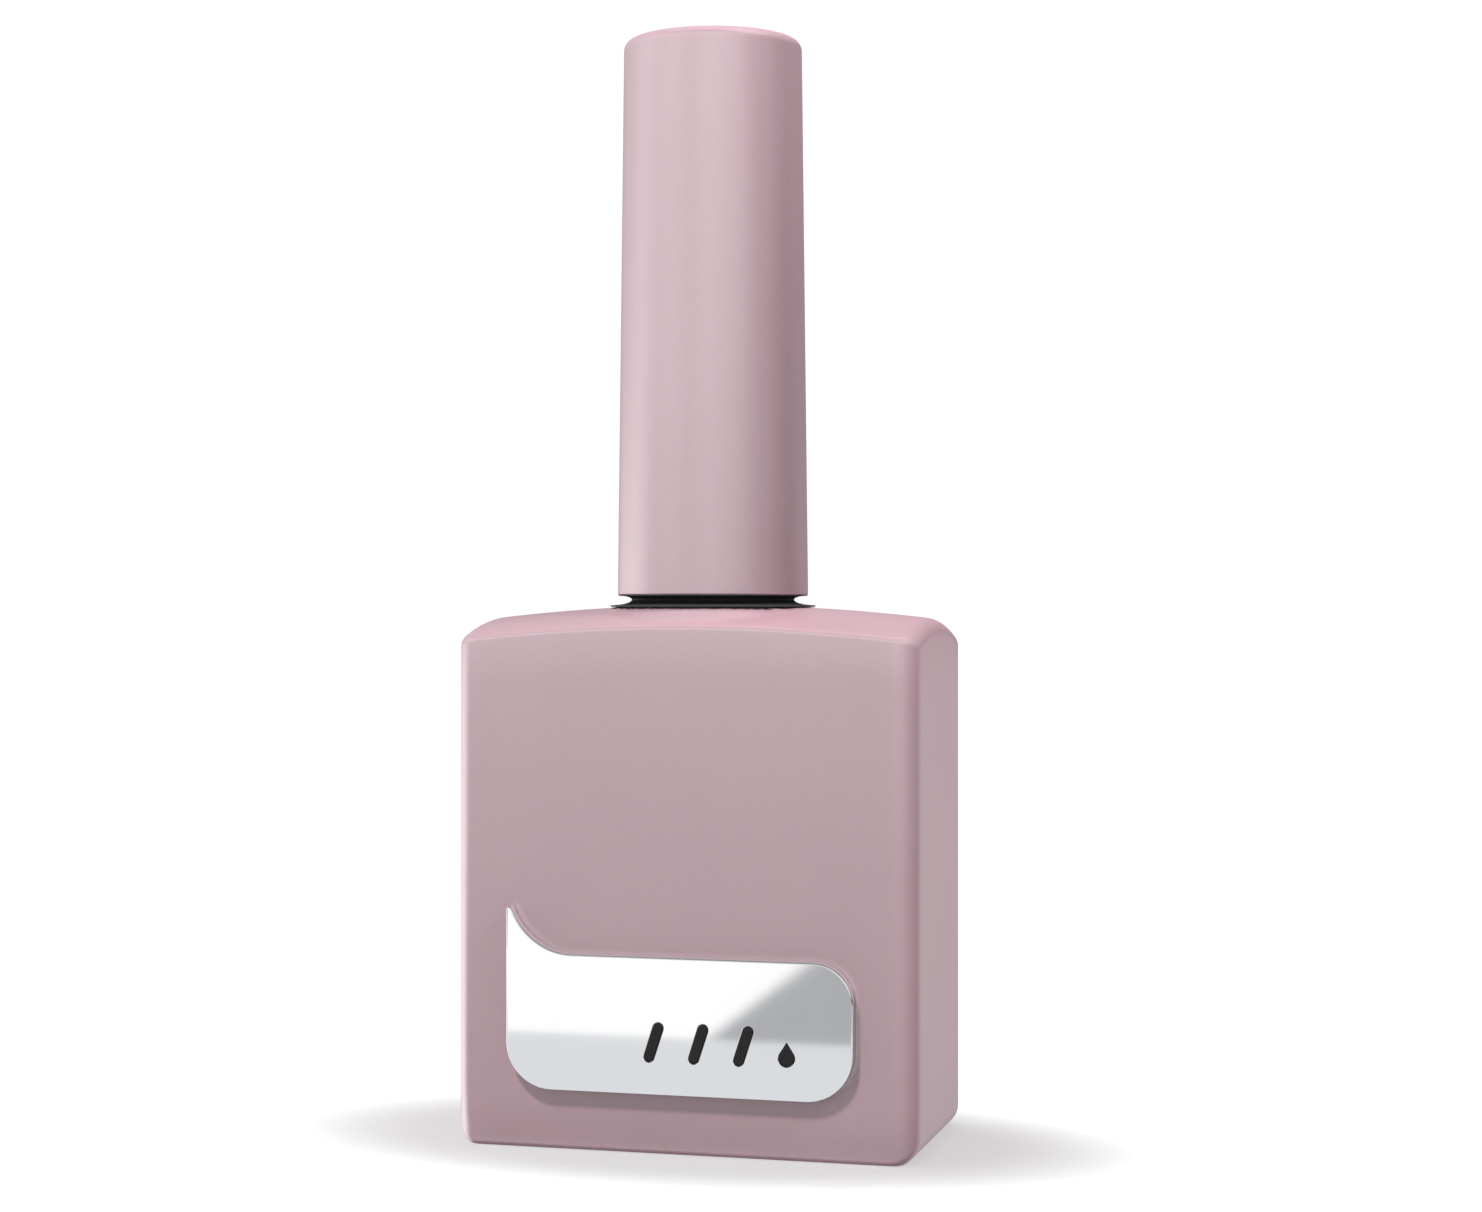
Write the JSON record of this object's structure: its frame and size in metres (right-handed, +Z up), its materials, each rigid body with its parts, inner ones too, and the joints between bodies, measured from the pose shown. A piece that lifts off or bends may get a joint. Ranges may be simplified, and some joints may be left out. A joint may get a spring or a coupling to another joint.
{
  "type": "nail polish bottle",
  "caption": "Coated rectangular glass polish bottle with domed shoulder, pointed metal plate on the front, and a tall round screw cap that carries the brush.",
  "frame": {"origin": "centre of the base, on the surface that the bottle stands on", "axes": "+Z up along the neck and cap, +X to the bottle's right as seen from the front, front face with the plate towards -Y"},
  "size_m": [0.0364, 0.0199, 0.086],
  "materials": {
    "coated_glass": "satin dusty pink coating on glass",
    "gel": "thick glossy gel",
    "ball_steel": "polished",
    "label_paper": "matt film sticker, blank",
    "plate_metal": "mirror polished",
    "adhesive_pad": "foam tape",
    "black_enamel": "hard black enamel",
    "cap_coating": "soft satin dusty pink coating",
    "black_plastic": "moulded polypropylene, semi-gloss",
    "liner_foam": "closed cell foam",
    "stem_plastic": "moulded polyethylene",
    "staple_metal": "plain wire stock",
    "bristle_nylon": "fine nylon filaments"
  },
  "bodies": {
    "bottle": {"glass_bottle": "coated_glass", "gel_polish": "gel", "name_plate": "plate_metal", "plate_adhesive": "adhesive_pad", "mark_strokes": "black_enamel", "mark_drop": "black_enamel", "base_label": "label_paper"},
    "ball_left": {"mixing_ball_left": "ball_steel"},
    "ball_right": {"mixing_ball_right": "ball_steel"},
    "seal": {"seal_liner": "liner_foam"},
    "stem": {"brush_stem": "stem_plastic"},
    "cap": {"overcap": "cap_coating", "inner_cap": "black_plastic", "tuft_anchor": "staple_metal", "bristles": "bristle_nylon"}
  },
  "joints": [
    {"name": "cap_pull", "type": "slide", "parent": "bottle", "child": "seal", "axis": [0, 0, 1], "range_m": [0, 0.06]},
    {"name": "cap_rise", "type": "slide", "parent": "seal", "child": "stem", "axis": [0, 0, 1], "range_m": [0, 0.0032]},
    {"name": "cap_turn", "type": "hinge", "parent": "stem", "child": "cap", "pos_m": [0, 0, 0], "axis": [0, 0, 1], "range_deg": [0, 450]},
    {"name": "ball_left_roll", "type": "slide", "parent": "bottle", "child": "ball_left", "axis": [1, 0, 0], "range_m": [-0.0035, 0.004]},
    {"name": "ball_right_roll", "type": "slide", "parent": "bottle", "child": "ball_right", "axis": [1, 0, 0], "range_m": [-0.004, 0.0035]}
  ],
  "couplings": [
    {"joint": "cap_rise", "follows": "cap_turn", "m_per_rad": 0.00039789}
  ]
}
